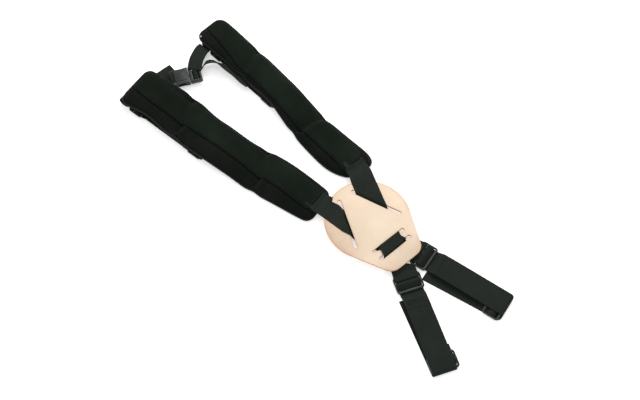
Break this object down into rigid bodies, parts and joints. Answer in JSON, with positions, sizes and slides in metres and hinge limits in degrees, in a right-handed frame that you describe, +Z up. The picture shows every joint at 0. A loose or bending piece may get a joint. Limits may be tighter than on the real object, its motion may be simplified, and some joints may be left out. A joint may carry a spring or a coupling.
{
  "type": "padded tool belt suspenders",
  "caption": "Padded suspenders for a tool belt: shoulder pads, leather back yoke, crossing webbing straps, chest buckle and adjustable belt loops.",
  "frame": {"origin": "middle of the base of the laid-out suspenders, on the surface they lie on", "axes": "+Y from the back belt loops up past the yoke to the shoulder pads' far ends, +X to the right seen from above, +Z up from the surface"},
  "size_m": [0.2596, 0.7286, 0.0321],
  "materials": {
    "yoke_leather": "smooth undyed leather with a darker cut edge",
    "webbing": "woven black webbing",
    "pad_fabric": "black knitted cover",
    "pad_lining": "black brushed lining",
    "foam": "open foam",
    "slider_plastic": "moulded black plastic",
    "buckle_plastic": "moulded black plastic"
  },
  "bodies": {
    "harness": {"yoke_plate": "yoke_leather", "left_back_strap": "webbing", "right_back_strap": "webbing", "left_front_strap": "webbing", "right_front_strap": "webbing", "left_pad_lining": "pad_lining", "left_pad_foam": "foam", "left_pad_cover": "pad_fabric", "left_pad_strip": "webbing", "right_pad_lining": "pad_lining", "right_pad_foam": "foam", "right_pad_cover": "pad_fabric", "right_pad_strip": "webbing", "chest_tab": "webbing", "chest_buckle_body": "buckle_plastic", "chest_strap": "webbing", "chest_strap_tail": "webbing"},
    "chest_plug": {"chest_buckle_plug": "buckle_plastic"},
    "left_prong": {"chest_left_prong": "buckle_plastic"},
    "right_prong": {"chest_right_prong": "buckle_plastic"},
    "left_back_slider": {"left_back_slider": "slider_plastic"},
    "left_back_loop": {"left_back_loop": "webbing"},
    "left_back_loop_slider": {"left_back_loop_slider": "slider_plastic"},
    "right_back_slider": {"right_back_slider": "slider_plastic"},
    "right_back_loop": {"right_back_loop": "webbing"},
    "right_back_loop_slider": {"right_back_loop_slider": "slider_plastic"},
    "left_front_slider": {"left_front_slider": "slider_plastic"},
    "left_front_loop": {"left_front_loop": "webbing"},
    "left_front_loop_slider": {"left_front_loop_slider": "slider_plastic"},
    "right_front_slider": {"right_front_slider": "slider_plastic"},
    "right_front_loop": {"right_front_loop": "webbing"},
    "right_front_loop_slider": {"right_front_loop_slider": "slider_plastic"}
  },
  "joints": [
    {"name": "left_back_slider_tilt", "type": "hinge", "parent": "harness", "child": "left_back_slider", "pos_m": [0.02644, -0.20771, 0.0048], "axis": [-0.9304, 0.3665, 0], "range_deg": [-45, 30]},
    {"name": "left_back_loop_swing", "type": "hinge", "parent": "left_back_slider", "child": "left_back_loop", "pos_m": [0.02204, -0.21888, 0.0048], "axis": [-0.9304, 0.3665, 0], "range_deg": [-45, 0]},
    {"name": "left_back_loop_size", "type": "slide", "parent": "left_back_loop", "child": "left_back_loop_slider", "axis": [0.3665, 0.9304, 0], "range_m": [0, 0.07]},
    {"name": "right_back_slider_tilt", "type": "hinge", "parent": "harness", "child": "right_back_slider", "pos_m": [0.06723, -0.18934, 0.0048], "axis": [-0.9613, -0.2756, 0], "range_deg": [-45, 10]},
    {"name": "right_back_loop_swing", "type": "hinge", "parent": "right_back_slider", "child": "right_back_loop", "pos_m": [0.07054, -0.20088, 0.0048], "axis": [-0.9613, -0.2756, 0], "range_deg": [-45, 0]},
    {"name": "right_back_loop_size", "type": "slide", "parent": "right_back_loop", "child": "right_back_loop_slider", "axis": [-0.2756, 0.9613, 0], "range_m": [0, 0.07]},
    {"name": "left_front_slider_tilt", "type": "hinge", "parent": "harness", "child": "left_front_slider", "pos_m": [-0.10595, 0.32036, 0.0048], "axis": [-0.9781, -0.2079, 0], "range_deg": [-45, 0]},
    {"name": "left_front_loop_swing", "type": "hinge", "parent": "left_front_slider", "child": "left_front_loop", "pos_m": [-0.10346, 0.30862, 0.0048], "axis": [-0.9781, -0.2079, 0], "range_deg": [-45, 0]},
    {"name": "left_front_loop_size", "type": "slide", "parent": "left_front_loop", "child": "left_front_loop_slider", "axis": [-0.2079, 0.9781, 0], "range_m": [0, 0.07]},
    {"name": "right_front_slider_tilt", "type": "hinge", "parent": "harness", "child": "right_front_slider", "pos_m": [0.0697, 0.32559, 0.0048], "axis": [-0.9976, -0.0698, 0], "range_deg": [-45, 0]},
    {"name": "right_front_loop_swing", "type": "hinge", "parent": "right_front_slider", "child": "right_front_loop", "pos_m": [0.07054, 0.31362, 0.0048], "axis": [-0.9976, -0.0698, 0], "range_deg": [-45, 0]},
    {"name": "right_front_loop_size", "type": "slide", "parent": "right_front_loop", "child": "right_front_loop_slider", "axis": [-0.0698, 0.9976, 0], "range_m": [0, 0.07]},
    {"name": "chest_buckle_release", "type": "slide", "parent": "harness", "child": "chest_plug", "axis": [0.9178, -0.3971, 0], "range_m": [0, 0.022], "deforming": ["chest_strap", "chest_strap_tail"]},
    {"name": "left_prong_squeeze", "type": "hinge", "parent": "chest_plug", "child": "left_prong", "pos_m": [-0.01389, 0.2973, 0.009], "axis": [0, 0, -1], "range_deg": [0, 7], "stiffness_Nm_per_rad": 0.6},
    {"name": "right_prong_squeeze", "type": "hinge", "parent": "chest_plug", "child": "right_prong", "pos_m": [-0.00658, 0.31418, 0.009], "axis": [0, 0, 1], "range_deg": [0, 7], "stiffness_Nm_per_rad": 0.6}
  ]
}
